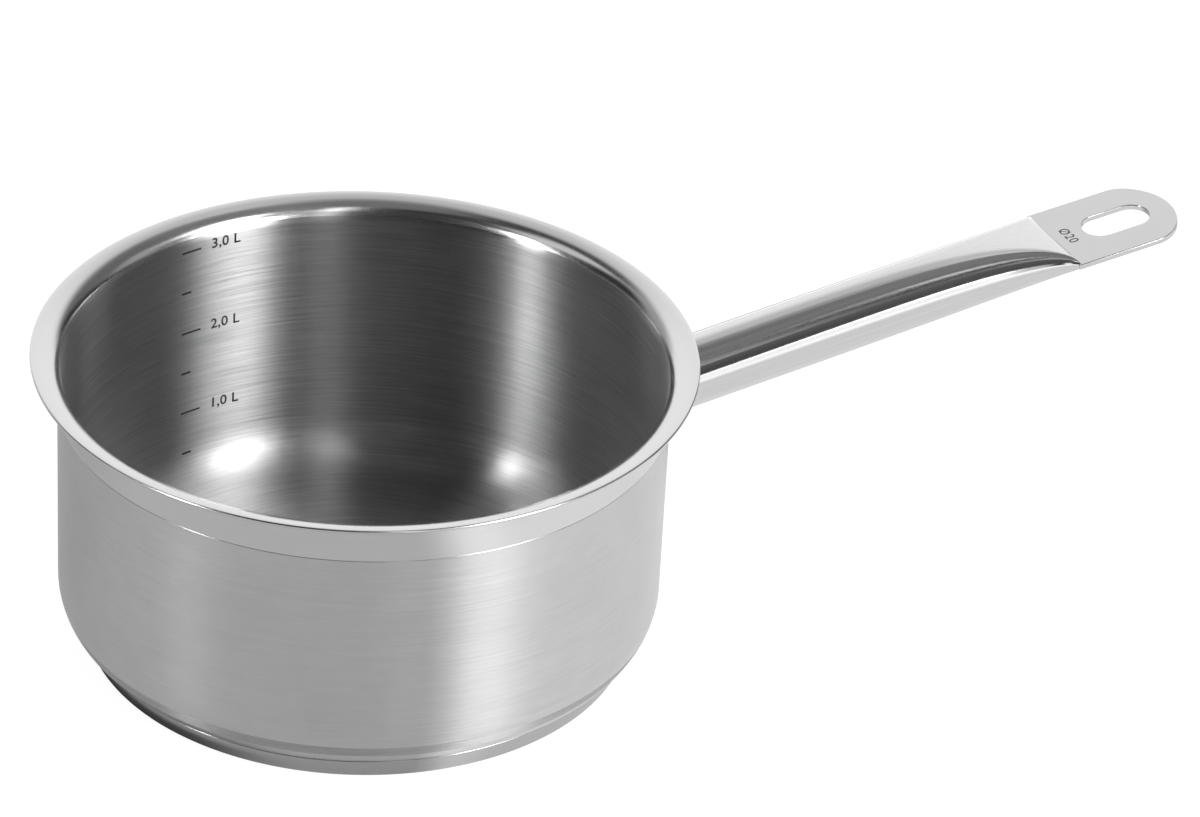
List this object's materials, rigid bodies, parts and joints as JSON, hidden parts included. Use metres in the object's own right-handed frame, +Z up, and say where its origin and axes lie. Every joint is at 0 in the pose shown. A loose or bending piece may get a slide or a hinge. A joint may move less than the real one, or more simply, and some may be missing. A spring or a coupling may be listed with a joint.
{
  "type": "saucepan",
  "caption": "Open stainless steel saucepan with a flared pouring lip, a capsule base and a round tube handle pressed flat into a slotted hanging plate.",
  "frame": {"origin": "on the pan's axis, in the plane of the surface that the pan stands on", "axes": "+Z up along the pan's axis, +X along the handle, away from the pan"},
  "size_m": [0.4193, 0.2202, 0.1059],
  "materials": {
    "brushed_steel_body": "brushed round the axis, with a mirror polished lip and collar",
    "aluminium_core": "plain",
    "polished_steel_cap": "satin polished",
    "polished_steel_handle": "polished tube, satin plate",
    "weld_steel": "as welded"
  },
  "bodies": {
    "root": {"pan_body": "brushed_steel_body", "base_core": "aluminium_core", "base_cap": "polished_steel_cap", "handle_tube": "polished_steel_handle", "weld_bead": "weld_steel"}
  },
  "joints": []
}
